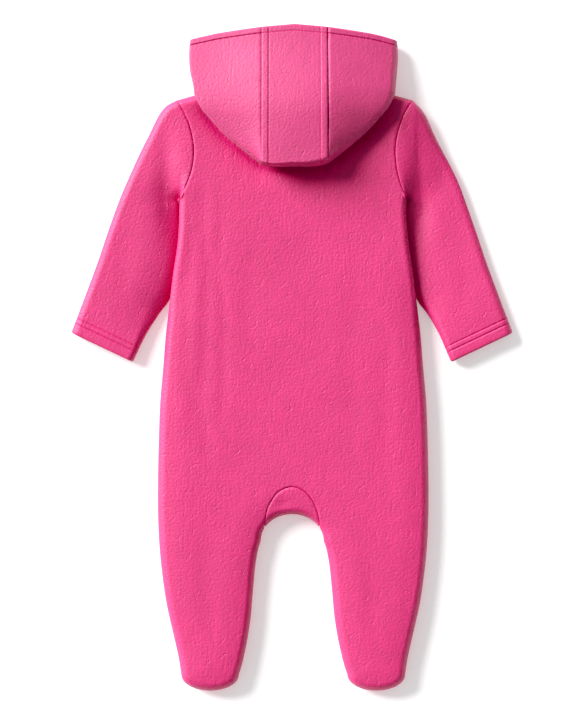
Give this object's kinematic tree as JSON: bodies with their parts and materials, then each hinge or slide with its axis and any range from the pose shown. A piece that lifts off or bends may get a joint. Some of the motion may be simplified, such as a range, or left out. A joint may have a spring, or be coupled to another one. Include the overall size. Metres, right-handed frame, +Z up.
{
  "type": "baby hooded romper",
  "caption": "Long-sleeved footed baby romper in thick embossed pink knit, laid face down with its three-panel hood folded down on the back and a zip down the front.",
  "frame": {"origin": "centre of the bounding box's base, on the surface that the romper lies on", "axes": "+Y from the feet to the hood, +X to the right as seen from above with the back up, +Z up out of the back"},
  "size_m": [0.416, 0.626, 0.039],
  "materials": {
    "pink_knit": "matte knit, embossed all over",
    "zip_tape": "matte woven tape",
    "zip_coil": "moulded nylon coil",
    "zip_metal": "plated zinc"
  },
  "bodies": {
    "garment": {"back": "pink_knit", "front_left": "pink_knit", "front_right": "pink_knit", "crotch_gusset": "pink_knit", "sleeve_left": "pink_knit", "sleeve_right": "pink_knit", "hood_left": "pink_knit", "hood_right": "pink_knit", "hood_gusset": "pink_knit", "zip_tape": "zip_tape", "zip_chain": "zip_coil", "zip_slider": "zip_metal"},
    "pull": {"zip_pull": "zip_metal"}
  },
  "joints": [
    {"name": "pull_hinge", "type": "hinge", "parent": "garment", "child": "pull", "pos_m": [0, 0.2, 0.0014], "axis": [1, 0, 0], "range_deg": [0, 150]}
  ]
}
